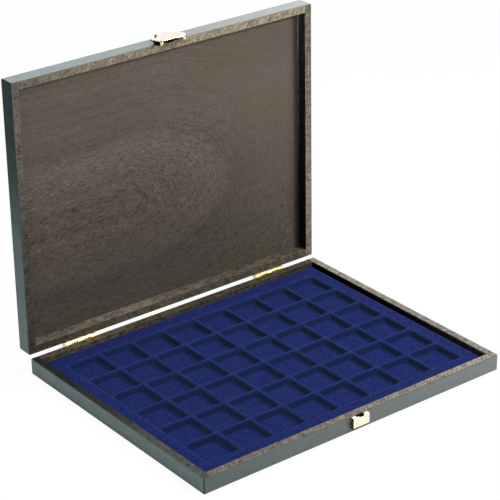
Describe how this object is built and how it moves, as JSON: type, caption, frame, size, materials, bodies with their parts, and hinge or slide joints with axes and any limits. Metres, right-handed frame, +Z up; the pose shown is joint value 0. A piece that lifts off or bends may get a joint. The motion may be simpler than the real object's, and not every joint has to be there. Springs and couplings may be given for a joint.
{
  "type": "hinged presentation case",
  "caption": "Flat wooden presentation case with a hinged lid, a blue flocked tray of square capsule pockets, brass stop hinges and a brass snap latch, shown open.",
  "frame": {"origin": "centre of the base's underside, on the surface that the case stands on", "axes": "+X along the hinge side, +Y from the front to the back, +Z up"},
  "size_m": [0.34, 0.2933, 0.2943],
  "materials": {
    "case_wood": "dark stained open-grain wood, clear lacquer, grey-green sheen outside",
    "panel_wood": "dark stained figured veneer, satin lacquer",
    "blue_flock": "deep blue flock on a formed sheet",
    "hinge_brass": "polished brass plate",
    "screw_brass": "brass-plated countersunk screws",
    "latch_brass": "bright polished pale brass",
    "spring_steel": "bright spring wire"
  },
  "bodies": {
    "base": {"base_left_side": "case_wood", "base_right_side": "case_wood", "base_front_rail": "case_wood", "base_rear_rail": "case_wood", "base_bottom_panel": "panel_wood", "capsule_tray": "blue_flock", "left_hinge_base_leaf": "hinge_brass", "left_hinge_base_screws": "screw_brass", "left_hinge_pin": "hinge_brass", "right_hinge_base_leaf": "hinge_brass", "right_hinge_base_screws": "screw_brass", "right_hinge_pin": "hinge_brass", "catch_box": "latch_brass"},
    "lid": {"lid_left_side": "case_wood", "lid_right_side": "case_wood", "lid_front_rail": "case_wood", "lid_rear_rail": "case_wood", "lid_top_panel": "panel_wood", "left_hinge_lid_leaf": "hinge_brass", "left_hinge_lid_screws": "screw_brass", "right_hinge_lid_leaf": "hinge_brass", "right_hinge_lid_screws": "screw_brass", "latch_plate": "latch_brass", "latch_plate_nails": "latch_brass", "latch_pin": "latch_brass", "latch_spring": "spring_steel"},
    "latch": {"latch_lever": "latch_brass"}
  },
  "joints": [
    {"name": "lid_hinge", "type": "hinge", "parent": "base", "child": "lid", "pos_m": [0, 0.13715, 0.01615], "axis": [1, 0, 0], "range_deg": [0, 90]},
    {"name": "latch_lift", "type": "hinge", "parent": "lid", "child": "latch", "pos_m": [0, 0.1473, 0.2908], "axis": [-1, 0, 0], "range_deg": [0, 4]}
  ]
}
